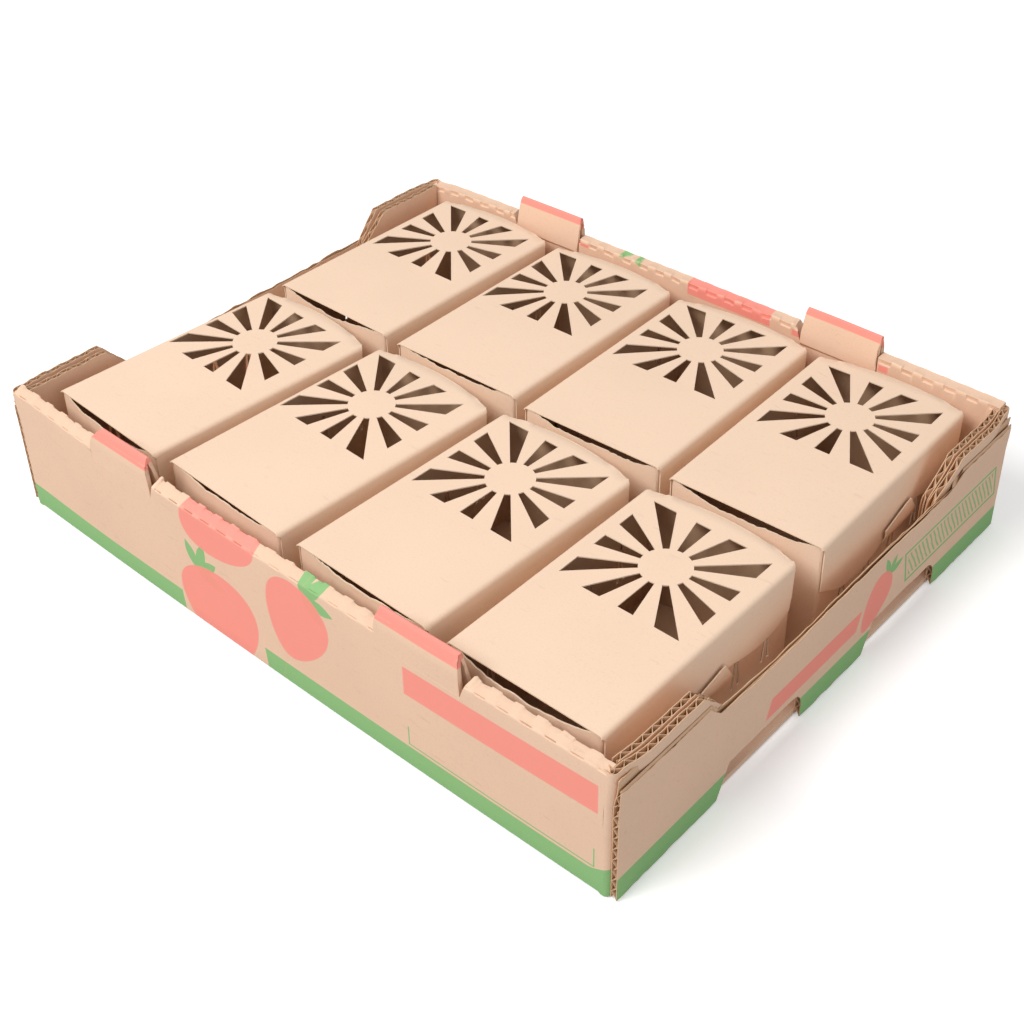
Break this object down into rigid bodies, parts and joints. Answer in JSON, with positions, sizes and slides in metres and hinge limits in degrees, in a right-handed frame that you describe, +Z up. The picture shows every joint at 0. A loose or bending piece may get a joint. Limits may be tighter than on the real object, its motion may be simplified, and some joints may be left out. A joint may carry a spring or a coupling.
{
  "type": "corrugated produce tray with lidded paperboard cartons",
  "caption": "Open corrugated board tray with stacking tabs and corner posts, packed with two rows of vented, hinged-lid paperboard cartons.",
  "frame": {"origin": "centre of the tray's underside", "axes": "+X along the tray's long side, +Y from the near long wall to the far one, +Z up"},
  "size_m": [0.508, 0.405, 0.1077],
  "materials": {
    "corrugated_board": "uncoated kraft",
    "paperboard": "uncoated kraft",
    "green_print": "matt ink",
    "red_print": "matt ink"
  },
  "bodies": {
    "tray_with_cartons": {"tray": "corrugated_board", "carton_base_near_1": "paperboard", "carton_base_near_2": "paperboard", "carton_base_near_3": "paperboard", "carton_base_near_4": "paperboard", "carton_base_far_1": "paperboard", "carton_base_far_2": "paperboard", "carton_base_far_3": "paperboard", "carton_base_far_4": "paperboard"},
    "lid_near_1": {"carton_lid_near_1": "paperboard"},
    "lid_near_2": {"carton_lid_near_2": "paperboard"},
    "lid_near_3": {"carton_lid_near_3": "paperboard"},
    "lid_near_4": {"carton_lid_near_4": "paperboard"},
    "lid_far_1": {"carton_lid_far_1": "paperboard"},
    "lid_far_2": {"carton_lid_far_2": "paperboard"},
    "lid_far_3": {"carton_lid_far_3": "paperboard"},
    "lid_far_4": {"carton_lid_far_4": "paperboard"}
  },
  "joints": [
    {"name": "lid_hinge_near_1", "type": "hinge", "parent": "tray_with_cartons", "child": "lid_near_1", "pos_m": [-0.16729, 0.00038, 0.09], "axis": [-0.9986, 0.0523, 0], "range_deg": [0, 110]},
    {"name": "lid_hinge_near_2", "type": "hinge", "parent": "tray_with_cartons", "child": "lid_near_2", "pos_m": [-0.05242, -0.00059, 0.09], "axis": [-0.999, 0.0454, 0], "range_deg": [0, 110]},
    {"name": "lid_hinge_near_3", "type": "hinge", "parent": "tray_with_cartons", "child": "lid_near_3", "pos_m": [0.0627, -0.00203, 0.09], "axis": [-0.9997, 0.0244, 0], "range_deg": [0, 110]},
    {"name": "lid_hinge_near_4", "type": "hinge", "parent": "tray_with_cartons", "child": "lid_near_4", "pos_m": [0.1785, -0.003, 0.09], "axis": [-1, 0, 0], "range_deg": [0, 110]},
    {"name": "lid_hinge_far_1", "type": "hinge", "parent": "tray_with_cartons", "child": "lid_far_1", "pos_m": [-0.168, 0.1885, 0.09], "axis": [-1, 0, 0], "range_deg": [0, 110]},
    {"name": "lid_hinge_far_2", "type": "hinge", "parent": "tray_with_cartons", "child": "lid_far_2", "pos_m": [-0.05126, 0.18749, 0.09], "axis": [-0.9999, -0.014, 0], "range_deg": [0, 110]},
    {"name": "lid_hinge_far_3", "type": "hinge", "parent": "tray_with_cartons", "child": "lid_far_3", "pos_m": [0.06299, 0.18596, 0.09], "axis": [-0.9996, -0.0279, 0], "range_deg": [0, 110]},
    {"name": "lid_hinge_far_4", "type": "hinge", "parent": "tray_with_cartons", "child": "lid_far_4", "pos_m": [0.17799, 0.18646, 0.09], "axis": [-0.9996, -0.0279, 0], "range_deg": [0, 110]}
  ]
}
